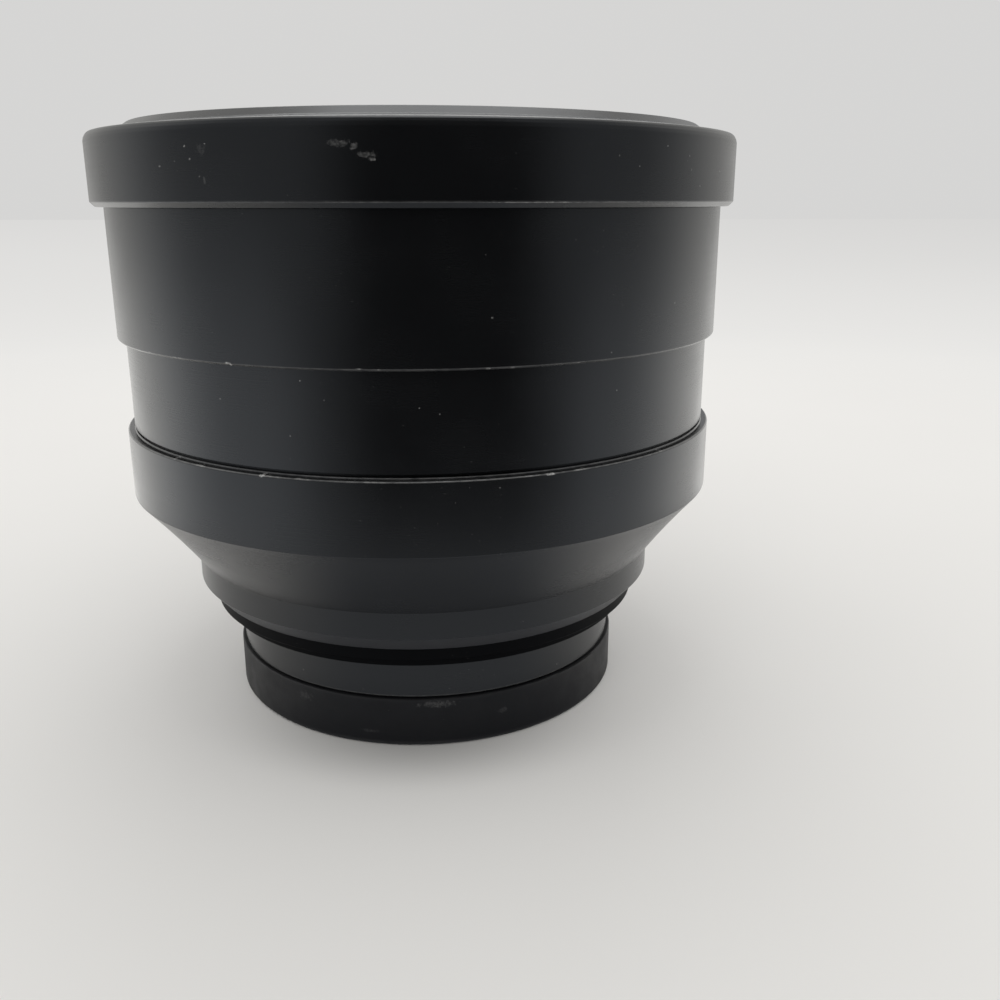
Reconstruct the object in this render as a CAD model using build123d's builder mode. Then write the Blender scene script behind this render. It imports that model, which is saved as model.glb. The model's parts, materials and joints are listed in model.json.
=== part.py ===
from build123d import *

import os
from math import sqrt

# Wide angle conversion lens, millimetres.
# The optical axis is Z, the front of the lens is up, and the origin is the centre
# of the rear cap's foot, on the surface that the lens stands on.

# Heights of the outside, one above the other from the foot to the front lip
cap_height = 7.7
mount_flange_height = 6.05
cover_ring_height = 3.2
neck_height = 6.15
cone_height = 10.8
collar_height = 10.0
joint_gap = 0.6
barrel_rear_height = 12.7
barrel_front_height = 18.05
ring_bevel = 0.75
ring_band_height = 8.71
front_face_rise = 1.59

# Radii of the front half, built out from the bore of the barrel
barrel_bore_radius = 40.5
barrel_wall = 3.7
barrel_step = 1.15
ring_overhang = 1.75
ring_corner = 1.2
joint_spigot_wall = 2.2
joint_spigot_height = 6.0
joint_ring_wall = 0.85
joint_ring_lip = 0.7
joint_ring_lip_height = 0.2
collar_wall = 2.45

# Filter thread in the front lip
filter_thread_radius = 38.5
filter_thread_depth = 3.8
lip_width = 2.9
filter_relief = 0.7

# Radii of the rear half, built out from the camera thread
camera_thread_radius = 29.0
camera_thread_height = 4.8
thread_relief_height = 0.9
thread_relief_depth = 0.7
mount_wall = 3.0
mount_spigot_step = 0.5
mount_spigot_height = 4.9
mount_flange_setback = 0.55
neck_spigot_wall = 2.4
cover_ring_wall = 0.9
cover_ring_step = 1.2
cover_step_height = 1.35
neck_proud = 2.35
cone_wall = 2.9
cone_hollow = 0.2

# Rear cap
cap_wall = 1.97
cap_floor = 1.6
cap_foot_width = 6.5
cap_foot_height = 0.5
cap_edge = 0.5

# Fits and edges
cap_clearance = 0.08
thread_clearance = 0.05
seat_clearance = 0.1
air_gap = 0.3
fine_edge = 0.15
edge_break = 0.4
step_edge = 0.25
collar_edge = 0.2
neck_chamfer = 2.1
neck_chamfer_height = 2.4

# Front element, a negative meniscus, and what holds it
front_seat_step = 1.4
front_edge_height = 6.5
front_convex_radius = 120.0
front_concave_radius = 52.0
front_rim_width = 8.55
front_seat_width = 6.1
front_seal_height = 0.8
front_seal_margin = 0.5
web_height = 2.5
crown_clearance = 0.3
front_retainer_overlap = 1.1
front_retainer_land = 1.85
front_retainer_height = 2.9
front_spigot_wall = 2.95

# Second element and its cell
spacer_height = 1.2
second_cell_height = 16.7
second_land_height = 4.0
second_land_relief = 1.5
second_glass_radius = 31.0
second_edge_height = 9.5
second_front_curve = 220.0
second_rear_curve = 85.0
second_front_rim = 2.5
second_rear_rim = 4.0
second_lip_height = 2.2
second_lip_width = 1.5
second_retainer_land = 1.5
second_retainer_width = 4.5
second_retainer_height = 3.0

# Light baffle between the two groups
baffle_wall = 1.6
baffle_flange_height = 1.5
baffle_steps = 7
baffle_retainer_width = 3.5
baffle_retainer_height = 3.0

# Rear cell and its cemented doublet
cell_nose_height = 7.7
cell_nose_wall = 2.1
cell_lip_height = 1.0
cell_lip_width = 1.5
cell_lip_bevel = 1.2
cell_neck_height = 4.5
cell_flange_width = 3.6
cell_flange_height = 2.5
cell_hub_height = 1.7
cell_hub_wall = 2.95
cell_shim_height = 0.3
flint_edge_height = 8.0
crown_edge_height = 2.0
doublet_curve = 48.0
doublet_front_curve = 65.0
cement_gap = 0.02
grinding_allowance = 1.0
rear_retainer_overlap = 1.25
rear_retainer_land = 1.5
rear_retainer_height = 2.9

# Screws and spanner slots
cell_screw_count = 3
set_screw_count = 3
screw_radius = 1.0
screw_length = 6.0
screw_head_radius = 1.8
screw_head_height = 1.3
screw_wall = 0.8
slot_count = 2
slot_width = 2.0
slot_depth = 1.0

# Stations along the axis, from the foot up
mount_seat_z = cap_height
neck_seat_z = mount_seat_z + mount_flange_height
neck_z = neck_seat_z + cover_ring_height
cone_z = neck_z + neck_height
collar_z = cone_z + cone_height
joint_z = collar_z + collar_height
barrel_z = joint_z + joint_gap
barrel_step_z = barrel_z + barrel_rear_height
ring_z = barrel_step_z + barrel_front_height
ring_band_z = ring_z + ring_bevel
front_face_z = ring_band_z + ring_band_height
lip_z = front_face_z + front_face_rise
filter_floor_z = lip_z - filter_thread_depth

# Radii that follow from the driving ones
barrel_rear_radius = barrel_bore_radius + barrel_wall
barrel_front_radius = barrel_rear_radius + barrel_step
ring_radius = barrel_front_radius + ring_overhang
joint_spigot_radius = barrel_bore_radius + joint_spigot_wall
collar_bore_radius = joint_spigot_radius + thread_clearance
collar_radius = collar_bore_radius + collar_wall
lip_radius = filter_thread_radius + lip_width
relief_radius = filter_thread_radius + filter_relief
mount_bore_radius = camera_thread_radius - mount_wall
cap_bore_radius = camera_thread_radius + cap_clearance
cap_radius = cap_bore_radius + cap_wall
mount_flange_radius = cap_radius - mount_flange_setback
mount_spigot_radius = camera_thread_radius + mount_spigot_step
neck_bore_radius = mount_spigot_radius + seat_clearance
neck_spigot_radius = neck_bore_radius + neck_spigot_wall
cover_bore_radius = neck_spigot_radius + seat_clearance
cover_rear_radius = cover_bore_radius + cover_ring_wall
cover_ring_radius = cover_rear_radius + cover_ring_step
neck_radius = cover_ring_radius + neck_proud
stack_radius = barrel_bore_radius - seat_clearance


def sag(curve_radius, half_width):
    """Depth of a sphere's cap of this half width."""
    return curve_radius - sqrt(curve_radius**2 - half_width**2)


def turn(*outline):
    """Turn a closed outline of (radius, height) points about the optical axis."""
    with BuildSketch(Plane.XZ) as section:
        with BuildLine():
            Polyline(*outline, close=True)
        make_face()
    revolve(section.sketch, axis=Axis.Z)


def turn_bored(inner_radius, outer_radius, low_z, high_z):
    """Turn a plain ring."""
    turn(
        (inner_radius, low_z),
        (outer_radius, low_z),
        (outer_radius, high_z),
        (inner_radius, high_z),
    )


def turn_solid(radius, low_z, high_z):
    """Turn a plain disc."""
    turn((0, low_z), (radius, low_z), (radius, high_z), (0, high_z))


def grind(curve_radius, vertex_z, mode):
    """Grind a spherical face through a point of the axis into a glass blank.

    A positive curve bulges towards the front and a negative one towards the rear.
    Mode.INTERSECT leaves a bulging face and Mode.SUBTRACT a hollow one. The poles of
    the sphere lie sideways, off the glass. Where a ground face runs right to the edge,
    the blank stands proud of it by the grinding allowance.
    """
    with Locations((0, 0, vertex_z - curve_radius)):
        Sphere(abs(curve_radius), rotation=(90, 0, 0), mode=mode)


def cut_spanner_slots(inner_radius, outer_radius, face_z, depth):
    """Cut the slots that a spanner turns a retaining ring by, up or down from a face."""
    middle = (inner_radius + outer_radius) / 2
    with BuildSketch(Plane.XY.offset(face_z)) as slots:
        with PolarLocations(middle, slot_count):
            Rectangle(2 * (outer_radius - inner_radius), slot_width)
    extrude(slots.sketch, amount=depth, mode=Mode.SUBTRACT)


def finish(piece, label):
    """Name a finished piece and write it to its file."""
    piece.part.label = label
    export_step(piece.part, f"parts/{label}.step")


os.makedirs("parts", exist_ok=True)

# Rear cap, a plain cup pushed over the camera thread, which the lens stands on
cap_foot_radius = cap_radius - cap_edge
with BuildPart() as rear_cap:
    turn(
        (0, cap_foot_height),
        (cap_foot_radius - cap_foot_width, cap_foot_height),
        (cap_foot_radius - cap_foot_width, 0),
        (cap_foot_radius, 0),
        (cap_radius, cap_edge),
        (cap_radius, mount_seat_z - fine_edge),
        (cap_radius - fine_edge, mount_seat_z),
        (cap_bore_radius, mount_seat_z),
        (cap_bore_radius, cap_floor),
        (0, cap_floor),
    )
finish(rear_cap, "rear_cap")

# Mount ring, with the camera thread below its flange and a spigot above it
thread_end_z = mount_seat_z - camera_thread_height
mount_top_z = neck_seat_z + mount_spigot_height
with BuildPart() as mount_ring:
    turn(
        (mount_bore_radius, thread_end_z),
        (camera_thread_radius - edge_break, thread_end_z),
        (camera_thread_radius, thread_end_z + edge_break),
        (camera_thread_radius, mount_seat_z - thread_relief_height),
        (camera_thread_radius - thread_relief_depth, mount_seat_z - thread_relief_height),
        (camera_thread_radius - thread_relief_depth, mount_seat_z),
        (mount_flange_radius - fine_edge, mount_seat_z),
        (mount_flange_radius, mount_seat_z + fine_edge),
        (mount_flange_radius, neck_seat_z - edge_break),
        (mount_flange_radius - edge_break, neck_seat_z),
        (mount_spigot_radius, neck_seat_z),
        (mount_spigot_radius, mount_top_z),
        (mount_bore_radius, mount_top_z),
    )
finish(mount_ring, "mount_ring")

# Dark band that covers the set screws, stepped, between the mount flange and the neck
cover_step_z = neck_seat_z + cover_step_height
with BuildPart() as cover_ring:
    turn(
        (cover_bore_radius, neck_seat_z),
        (cover_rear_radius - fine_edge, neck_seat_z),
        (cover_rear_radius, neck_seat_z + fine_edge),
        (cover_rear_radius, cover_step_z),
        (cover_ring_radius - fine_edge, cover_step_z),
        (cover_ring_radius, cover_step_z + fine_edge),
        (cover_ring_radius, neck_z),
        (cover_bore_radius, neck_z),
    )
finish(cover_ring, "cover_ring")

# Rear cell stations, from the end of its nose to its flange
cell_seat_z = mount_top_z + air_gap + cell_neck_height
cell_flange_z = cell_seat_z + cell_shim_height
cell_flange_top_z = cell_flange_z + cell_flange_height
cell_top_z = cell_flange_top_z + cell_hub_height
cell_nose_top_z = mount_top_z + air_gap
cell_nose_z = cell_nose_top_z - cell_nose_height
cell_flange_radius = neck_bore_radius + cell_flange_width
cell_screw_circle = neck_bore_radius + screw_wall + screw_radius
hole_radius = screw_radius + thread_clearance

# Rear housing: threaded neck, hollowed cone and collar in one turned shell
cone_top_radius = collar_radius - fine_edge
cone_inner_radius = cell_flange_radius + edge_break
collar_floor_z = joint_z - joint_spigot_height - air_gap
collar_inner_radius = collar_radius - cone_wall
with BuildPart() as rear_housing:
    with BuildSketch(Plane.XZ) as housing_section:
        with BuildLine():
            neck_side = Polyline(
                (neck_bore_radius, cell_seat_z),
                (neck_bore_radius, neck_seat_z),
                (neck_spigot_radius, neck_seat_z),
                (neck_spigot_radius, neck_z),
                (neck_radius - neck_chamfer, neck_z),
                (neck_radius, neck_z + neck_chamfer_height),
                (neck_radius, cone_z),
            )
            cone_side = SagittaArc(
                neck_side @ 1, (cone_top_radius, collar_z), -cone_hollow
            )
            Polyline(
                cone_side @ 1,
                (collar_radius, collar_z + fine_edge),
                (collar_radius, joint_z - collar_edge),
                (collar_radius - collar_edge, joint_z),
                (collar_bore_radius, joint_z),
                (collar_bore_radius, collar_floor_z),
                (collar_inner_radius, collar_floor_z),
                (collar_inner_radius, collar_z + air_gap),
                (cone_inner_radius, cell_seat_z + air_gap),
                (cone_inner_radius, cell_seat_z),
                (neck_bore_radius, cell_seat_z),
            )
        make_face()
    revolve(axis=Axis.Z)
    with BuildSketch(Plane.XY.offset(cell_seat_z)) as cell_holes:
        with PolarLocations(cell_screw_circle, cell_screw_count):
            Circle(hole_radius)
    extrude(amount=cell_shim_height + cell_flange_height - screw_length - air_gap, mode=Mode.SUBTRACT)
    with PolarLocations(neck_spigot_radius, set_screw_count):
        with Locations(Location((0, 0, (neck_seat_z + neck_z) / 2), (0, 90, 0))):
            Cylinder(hole_radius, 2 * neck_spigot_wall + seat_clearance, mode=Mode.SUBTRACT)
finish(rear_housing, "rear_housing")

# Shim under the rear cell's flange, which sets the back focus
with BuildPart() as cell_shim:
    turn_bored(neck_bore_radius + seat_clearance, cell_flange_radius, cell_seat_z, cell_flange_z)
    with BuildSketch(Plane.XY.offset(cell_seat_z)) as shim_holes:
        with PolarLocations(cell_screw_circle, cell_screw_count):
            Circle(hole_radius)
    extrude(amount=cell_shim_height, mode=Mode.SUBTRACT)
finish(cell_shim, "cell_shim")

# Doublet stations, from its rear face to the ring that holds it
cell_nose_radius = mount_bore_radius - air_gap
cell_pocket_radius = cell_nose_radius - cell_nose_wall
cell_lip_radius = cell_pocket_radius - cell_lip_width
doublet_radius = cell_pocket_radius - thread_clearance
doublet_z = cell_nose_z + cell_lip_height
cement_z = doublet_z + flint_edge_height
crown_edge_z = cement_z + cement_gap
crown_top_z = crown_edge_z + crown_edge_height
crown_vertex_z = crown_top_z + sag(doublet_front_curve, doublet_radius)
rear_retainer_inner = doublet_radius - rear_retainer_overlap
rear_retainer_bore = cell_pocket_radius + rear_retainer_land
rear_retainer_radius = rear_retainer_bore - thread_clearance
rear_retainer_z = crown_vertex_z - sag(doublet_front_curve, rear_retainer_inner) + thread_clearance
rear_retainer_top_z = rear_retainer_z + rear_retainer_height
cell_hub_radius = rear_retainer_bore + cell_hub_wall
cell_neck_radius = neck_bore_radius - seat_clearance

# Rear cell, whose nose reaches down inside the mount ring
with BuildPart() as rear_cell:
    turn(
        (cell_lip_radius + cell_lip_bevel, cell_nose_z),
        (cell_nose_radius, cell_nose_z),
        (cell_nose_radius, cell_nose_top_z),
        (cell_neck_radius, cell_nose_top_z),
        (cell_neck_radius, cell_flange_z),
        (cell_flange_radius, cell_flange_z),
        (cell_flange_radius, cell_flange_top_z),
        (cell_hub_radius, cell_flange_top_z),
        (cell_hub_radius, cell_top_z),
        (rear_retainer_bore, cell_top_z),
        (rear_retainer_bore, crown_top_z),
        (cell_pocket_radius, crown_top_z),
        (cell_pocket_radius, doublet_z),
        (cell_lip_radius, doublet_z),
    )
    with BuildSketch(Plane.XY.offset(cell_flange_z)) as flange_holes:
        with PolarLocations(cell_screw_circle, cell_screw_count):
            Circle(hole_radius)
    extrude(amount=cell_flange_height, mode=Mode.SUBTRACT)
finish(rear_cell, "rear_cell")

# Rear element of the cemented doublet, flat behind and hollow towards the front
doublet_sag = sag(doublet_curve, doublet_radius)
with BuildPart() as rear_flint:
    turn_solid(doublet_radius, doublet_z, cement_z + grinding_allowance)
    grind(-doublet_curve, cement_z - doublet_sag, Mode.SUBTRACT)
finish(rear_flint, "rear_flint_element")

# Front element of the cemented doublet, bulging both ways
crown_rear_vertex_z = crown_edge_z - doublet_sag
with BuildPart() as rear_crown:
    turn_solid(
        doublet_radius,
        crown_rear_vertex_z - grinding_allowance,
        crown_vertex_z + grinding_allowance,
    )
    grind(-doublet_curve, crown_rear_vertex_z, Mode.INTERSECT)
    grind(doublet_front_curve, crown_vertex_z, Mode.INTERSECT)
finish(rear_crown, "rear_crown_element")

# Ring that holds the doublet in its cell
with BuildPart() as rear_retainer:
    turn_bored(rear_retainer_inner, rear_retainer_radius, rear_retainer_z, rear_retainer_top_z)
    cut_spanner_slots(rear_retainer_inner, rear_retainer_radius, rear_retainer_top_z, -slot_depth)
finish(rear_retainer, "rear_retaining_ring")

# Cap screws that hold the rear cell's flange in the housing
with BuildPart() as cell_screws:
    with BuildSketch(Plane.XY.offset(cell_flange_top_z)) as screw_heads:
        with PolarLocations(cell_screw_circle, cell_screw_count):
            Circle(screw_head_radius)
    extrude(amount=screw_head_height)
    with BuildSketch(Plane.XY.offset(cell_flange_top_z)) as screw_shanks:
        with PolarLocations(cell_screw_circle, cell_screw_count):
            Circle(screw_radius)
    extrude(amount=-screw_length)
finish(cell_screws, "cell_screws")

# Set screws in the neck's spigot that lock the mount ring, under the cover ring
set_screw_length = neck_spigot_radius - neck_bore_radius
with BuildPart() as set_screws:
    with PolarLocations(neck_spigot_radius - set_screw_length / 2, set_screw_count):
        with Locations(Location((0, 0, (neck_seat_z + neck_z) / 2), (0, 90, 0))):
            Cylinder(screw_radius, set_screw_length)
finish(set_screws, "mount_set_screws")

# Front element stations, set by the crown of its front face below the filter thread
front_pocket_radius = barrel_bore_radius - front_seat_step
front_glass_radius = front_pocket_radius - thread_clearance
web_bore_radius = front_pocket_radius - front_seat_width
crown_z = filter_floor_z - crown_clearance
front_edge_z = crown_z - sag(front_convex_radius, front_glass_radius)
front_glass_z = front_edge_z - front_edge_height
front_seal_z = front_glass_z - front_seal_height
web_z = front_seal_z - web_height
front_retainer_inner = front_glass_radius - front_retainer_overlap
front_retainer_bore = front_pocket_radius + front_retainer_land
front_retainer_radius = front_retainer_bore - thread_clearance
front_retainer_z = crown_z - sag(front_convex_radius, front_retainer_inner) + thread_clearance
front_retainer_top_z = front_retainer_z + front_retainer_height
barrel_top_z = front_retainer_top_z + thread_clearance
front_spigot_radius = front_retainer_bore + front_spigot_wall
ring_bore_radius = front_spigot_radius + thread_clearance

# Main barrel, one turned tube with a web that the front element seats on
joint_spigot_z = joint_z - joint_spigot_height
with BuildPart() as main_barrel:
    turn(
        (barrel_bore_radius, joint_spigot_z),
        (joint_spigot_radius - edge_break, joint_spigot_z),
        (joint_spigot_radius, joint_spigot_z + edge_break),
        (joint_spigot_radius, barrel_z),
        (barrel_rear_radius, barrel_z),
        (barrel_rear_radius, barrel_step_z),
        (barrel_front_radius - step_edge, barrel_step_z),
        (barrel_front_radius, barrel_step_z + step_edge),
        (barrel_front_radius, ring_z),
        (front_spigot_radius, ring_z),
        (front_spigot_radius, barrel_top_z),
        (front_retainer_bore, barrel_top_z),
        (front_retainer_bore, front_edge_z),
        (front_pocket_radius, front_edge_z),
        (front_pocket_radius, front_seal_z),
        (web_bore_radius, front_seal_z),
        (web_bore_radius, web_z),
        (barrel_bore_radius, web_z),
    )
finish(main_barrel, "main_barrel")

# Ring in the joint between the barrel and the housing, with a thin lip in the groove
joint_ring_radius = collar_bore_radius + joint_ring_wall
joint_lip_radius = joint_ring_radius + joint_ring_lip
joint_lip_z = joint_z + joint_ring_lip_height
with BuildPart() as joint_ring:
    turn(
        (collar_bore_radius, joint_z),
        (joint_lip_radius, joint_z),
        (joint_lip_radius - fine_edge, joint_lip_z),
        (joint_ring_radius, joint_lip_z),
        (joint_ring_radius, barrel_z),
        (collar_bore_radius, barrel_z),
    )
finish(joint_ring, "joint_ring")

# Flat seal between the web and the front element
with BuildPart() as front_seal:
    turn_bored(
        web_bore_radius + front_seal_margin,
        front_pocket_radius - seat_clearance,
        front_seal_z,
        front_glass_z,
    )
finish(front_seal, "front_seal")

# Front element, bulging to the front and deeply hollow behind
hollow_radius = front_glass_radius - front_rim_width
hollow_vertex_z = front_glass_z + sag(front_concave_radius, hollow_radius)
with BuildPart() as front_element:
    turn_solid(front_glass_radius, front_glass_z, crown_z + grinding_allowance)
    grind(front_convex_radius, crown_z, Mode.INTERSECT)
    grind(front_concave_radius, hollow_vertex_z, Mode.SUBTRACT)
finish(front_element, "front_element")

# Ring that holds the front element down
with BuildPart() as front_retainer:
    turn_bored(front_retainer_inner, front_retainer_radius, front_retainer_z, front_retainer_top_z)
    cut_spanner_slots(front_retainer_inner, front_retainer_radius, front_retainer_top_z, -slot_depth)
finish(front_retainer, "front_retaining_ring")

# Front ring with its bevelled lower edge, rounded corner, sloping face and filter thread
with BuildPart() as front_ring:
    with BuildSketch(Plane.XZ) as ring_section:
        with BuildLine():
            Polyline(
                (ring_bore_radius, ring_z),
                (ring_radius - ring_bevel, ring_z),
                (ring_radius, ring_band_z),
                (ring_radius, front_face_z),
                (lip_radius, lip_z),
                (filter_thread_radius + edge_break, lip_z),
                (filter_thread_radius, lip_z - edge_break),
                (filter_thread_radius, filter_floor_z),
                (relief_radius, filter_floor_z),
                (relief_radius, barrel_top_z),
                (ring_bore_radius, barrel_top_z),
                close=True,
            )
        make_face()
        widest_corners = ring_section.vertices().group_by(Axis.X)[-1]
        fillet(widest_corners.sort_by(Axis.Y)[-1], radius=ring_corner)
    revolve(axis=Axis.Z)
finish(front_ring, "front_ring")

# Spacer that sets the distance between the web and the second cell
spacer_z = web_z - spacer_height
with BuildPart() as spacer:
    turn_bored(web_bore_radius + front_seal_margin, stack_radius, spacer_z, web_z)
finish(spacer, "spacer_ring")

# Second cell, a thick ring on two lands with a flared mouth
second_cell_z = spacer_z - second_cell_height
second_top_z = spacer_z - second_lip_height
second_bottom_z = second_top_z - second_edge_height
second_pocket_radius = second_glass_radius + thread_clearance
second_retainer_bore = second_pocket_radius + second_retainer_land
with BuildPart() as second_cell:
    turn(
        (second_retainer_bore, second_cell_z),
        (stack_radius, second_cell_z),
        (stack_radius, second_cell_z + second_land_height),
        (stack_radius - second_land_relief, second_cell_z + second_land_height),
        (stack_radius - second_land_relief, spacer_z - second_land_height),
        (stack_radius, spacer_z - second_land_height),
        (stack_radius, spacer_z),
        (web_bore_radius, spacer_z),
        (second_pocket_radius - second_lip_width, second_top_z),
        (second_pocket_radius, second_top_z),
        (second_pocket_radius, second_bottom_z),
        (second_retainer_bore, second_bottom_z),
    )
finish(second_cell, "second_cell")

# Second element, hollow on both sides
rear_hollow_sag = sag(second_rear_curve, second_glass_radius - second_rear_rim)
front_hollow_sag = sag(second_front_curve, second_glass_radius - second_front_rim)
with BuildPart() as second_element:
    turn_solid(second_glass_radius, second_bottom_z, second_top_z)
    grind(second_rear_curve, second_bottom_z + rear_hollow_sag, Mode.SUBTRACT)
    grind(-second_front_curve, second_top_z - front_hollow_sag, Mode.SUBTRACT)
finish(second_element, "second_element")

# Ring that holds the second element up in its cell, slotted on its rear face
second_retainer_radius = second_retainer_bore - thread_clearance
second_retainer_inner = second_retainer_radius - second_retainer_width
second_retainer_z = second_bottom_z - second_retainer_height
with BuildPart() as second_retainer:
    turn_bored(second_retainer_inner, second_retainer_radius, second_retainer_z, second_bottom_z)
    cut_spanner_slots(second_retainer_inner, second_retainer_radius, second_retainer_z, slot_depth)
finish(second_retainer, "second_retaining_ring")

# Light baffle, a cone with a staircase of sharp steps inside that stops stray light
baffle_top_z = second_cell_z
baffle_flange_z = baffle_top_z - baffle_flange_height
baffle_z = cell_top_z + air_gap
baffle_retainer_inner = stack_radius - baffle_retainer_width
baffle_front_radius = baffle_retainer_inner - edge_break
baffle_rear_radius = cell_hub_radius + edge_break
baffle_slope = (baffle_front_radius - baffle_rear_radius) / (baffle_flange_z - baffle_z)
step_height = (baffle_top_z - baffle_z) / baffle_steps
step_width = step_height * baffle_slope
staircase = []
for step in range(baffle_steps):
    step_radius = baffle_rear_radius - baffle_wall + step * step_width
    step_z = baffle_z + step * step_height
    staircase.append((step_radius, step_z))
    staircase.append((step_radius, step_z + step_height))
with BuildPart() as light_baffle:
    turn(
        (baffle_rear_radius, baffle_z),
        (baffle_front_radius, baffle_flange_z),
        (stack_radius, baffle_flange_z),
        (stack_radius, baffle_top_z),
        *reversed(staircase),
    )
finish(light_baffle, "light_baffle")

# Ring that clamps the baffle, the second cell and the spacer against the web, slotted
# on its rear face
baffle_retainer_z = baffle_flange_z - baffle_retainer_height
with BuildPart() as baffle_retainer:
    turn_bored(baffle_retainer_inner, stack_radius, baffle_retainer_z, baffle_flange_z)
    cut_spanner_slots(baffle_retainer_inner, stack_radius, baffle_retainer_z, slot_depth)
finish(baffle_retainer, "stack_retaining_ring")
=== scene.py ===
import json
from math import asin, atan2, cos, hypot, radians, sin, sqrt, tau

import bmesh
import bpy
from mathutils import Matrix, Vector

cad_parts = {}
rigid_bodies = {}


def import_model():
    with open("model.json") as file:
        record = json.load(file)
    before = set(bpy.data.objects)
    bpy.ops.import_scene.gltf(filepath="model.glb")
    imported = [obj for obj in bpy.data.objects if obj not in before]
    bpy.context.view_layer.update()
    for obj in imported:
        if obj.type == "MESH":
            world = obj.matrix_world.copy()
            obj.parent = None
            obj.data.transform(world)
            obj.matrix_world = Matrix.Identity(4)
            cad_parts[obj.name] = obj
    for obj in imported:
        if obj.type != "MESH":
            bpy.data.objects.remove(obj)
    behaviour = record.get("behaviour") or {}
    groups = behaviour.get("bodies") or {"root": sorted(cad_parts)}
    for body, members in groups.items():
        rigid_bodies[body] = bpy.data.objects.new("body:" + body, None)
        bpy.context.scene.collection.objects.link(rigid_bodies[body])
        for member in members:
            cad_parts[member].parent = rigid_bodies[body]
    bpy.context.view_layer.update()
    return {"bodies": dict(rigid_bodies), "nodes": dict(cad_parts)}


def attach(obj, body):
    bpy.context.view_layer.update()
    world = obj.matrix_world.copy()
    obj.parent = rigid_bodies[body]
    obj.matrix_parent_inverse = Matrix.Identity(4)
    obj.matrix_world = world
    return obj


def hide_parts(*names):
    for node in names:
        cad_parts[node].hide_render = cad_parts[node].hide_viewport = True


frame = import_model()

# Wide angle conversion lens. Sizes are written in millimetres and turned into metres by MM.
MM = 0.001
STEPS_AROUND = 256
# Points of an outline closer than this, in metres, are one point.
SAME_PLACE = 1e-7

# Heights that are used more than once, from the foot up
DOUBLET_SEAT = 12.25
FLANGE_TOP = 13.75
NECK_FOOT = 16.95
CHAMFER_TOP = 19.35
CROWN_RIM = 22.27
CELL_SEAT = 23.75
COLLAR_TOP = 43.82
BARREL_FOOT = 44.42
STACK_FOOT = 47.97
SECOND_FOOT = 52.97
BARREL_STEP = 57.08
SECOND_TOP = 62.47
SPACER_FOOT = 64.67
WEB_FOOT = 65.87
WEB_TOP = 68.37
GLASS_SEAT = 69.17
RING_FOOT = 75.25
BARREL_TOP = 79.04
LIP_TOP = 86.3

scene = bpy.context.scene
scene.view_settings.view_transform = "Standard"


# Outlines of the turned pieces, as (radius, height) points


def bow(start, end, depth, count=12):
    """Points of a shallow arc between two points, bowed to the left of the way it runs."""
    run = (end[0] - start[0], end[1] - start[1])
    length = hypot(*run)
    points = []
    for step in range(1, count):
        share = step / count
        rise = 4 * depth * share * (1 - share)
        points.append(
            (
                start[0] + run[0] * share - run[1] / length * rise,
                start[1] + run[1] * share + run[0] / length * rise,
            )
        )
    return points


def ground(curve, vertex_z, start_radius, end_radius, count=28):
    """Points of a ground glass face. A positive curve bulges towards the front."""
    side = 1 if curve > 0 else -1
    first = asin(start_radius / abs(curve))
    last = asin(end_radius / abs(curve))
    points = []
    for step in range(count + 1):
        turn = first + (last - first) * step / count
        points.append(
            (abs(curve) * sin(turn), vertex_z - side * abs(curve) * (1 - cos(turn)))
        )
    return points


def sag(curve, half_width):
    return curve - sqrt(curve**2 - half_width**2)


CAP = [
    (0, 0.5),
    (24.05, 0.5),
    (24.05, 0),
    (30.55, 0),
    (31.05, 0.5),
    (31.05, 7.4),
    (30.9, 7.56),
    (29.08, 7.56),
    (29.08, 1.6),
    (0, 1.6),
]
MOUNT = [
    (26.0, 2.9),
    (28.2, 2.9),
    (28.6, 3.3),
    (28.6, 6.8),
    (28.3, 6.8),
    (28.3, 7.6),
    (30.34, 7.6),
    (30.5, 7.76),
    (30.5, 13.35),
    (30.1, FLANGE_TOP),
    (29.5, FLANGE_TOP),
    (29.5, 18.65),
    (26.0, 18.65),
]
COVER = [
    (32.1, FLANGE_TOP),
    (32.85, FLANGE_TOP),
    (33.0, 13.9),
    (33.0, 15.1),
    (34.05, 15.1),
    (34.2, 15.25),
    (34.2, NECK_FOOT),
    (32.1, NECK_FOOT),
]
CONE_FOOT = (36.55, 23.1)
CONE_TOP = (45.05, 33.9)
HOUSING = [
    (29.6, 23.45),
    (29.6, FLANGE_TOP),
    (32.0, FLANGE_TOP),
    (32.0, NECK_FOOT),
    (34.45, NECK_FOOT),
    (36.55, CHAMFER_TOP),
    CONE_FOOT,
    *bow(CONE_FOOT, CONE_TOP, 0.2),
    CONE_TOP,
    (45.2, 34.05),
    (45.2, 43.62),
    (45.0, COLLAR_TOP),
    (42.75, COLLAR_TOP),
    (42.75, 37.6),
    (42.3, 37.6),
    (42.3, 34.2),
    (33.6, CELL_SEAT),
    (33.6, 23.45),
]
JOINT_RING = [
    (42.75, COLLAR_TOP),
    (44.3, COLLAR_TOP),
    (44.15, 44.02),
    (43.6, 44.02),
    (43.6, BARREL_FOOT),
    (42.75, BARREL_FOOT),
]
BARREL = [
    (40.5, 37.9),
    (42.3, 37.9),
    (42.7, 38.3),
    (42.7, BARREL_FOOT),
    (44.2, BARREL_FOOT),
    (44.2, BARREL_STEP),
    (45.1, BARREL_STEP),
    (45.35, 57.33),
    (45.35, RING_FOOT),
    (43.9, RING_FOOT),
    (43.9, BARREL_TOP),
    (40.95, BARREL_TOP),
    (40.95, 75.67),
    (39.1, 75.67),
    (39.1, WEB_TOP),
    (33.0, WEB_TOP),
    (33.0, WEB_FOOT),
    (40.5, WEB_FOOT),
]
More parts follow.
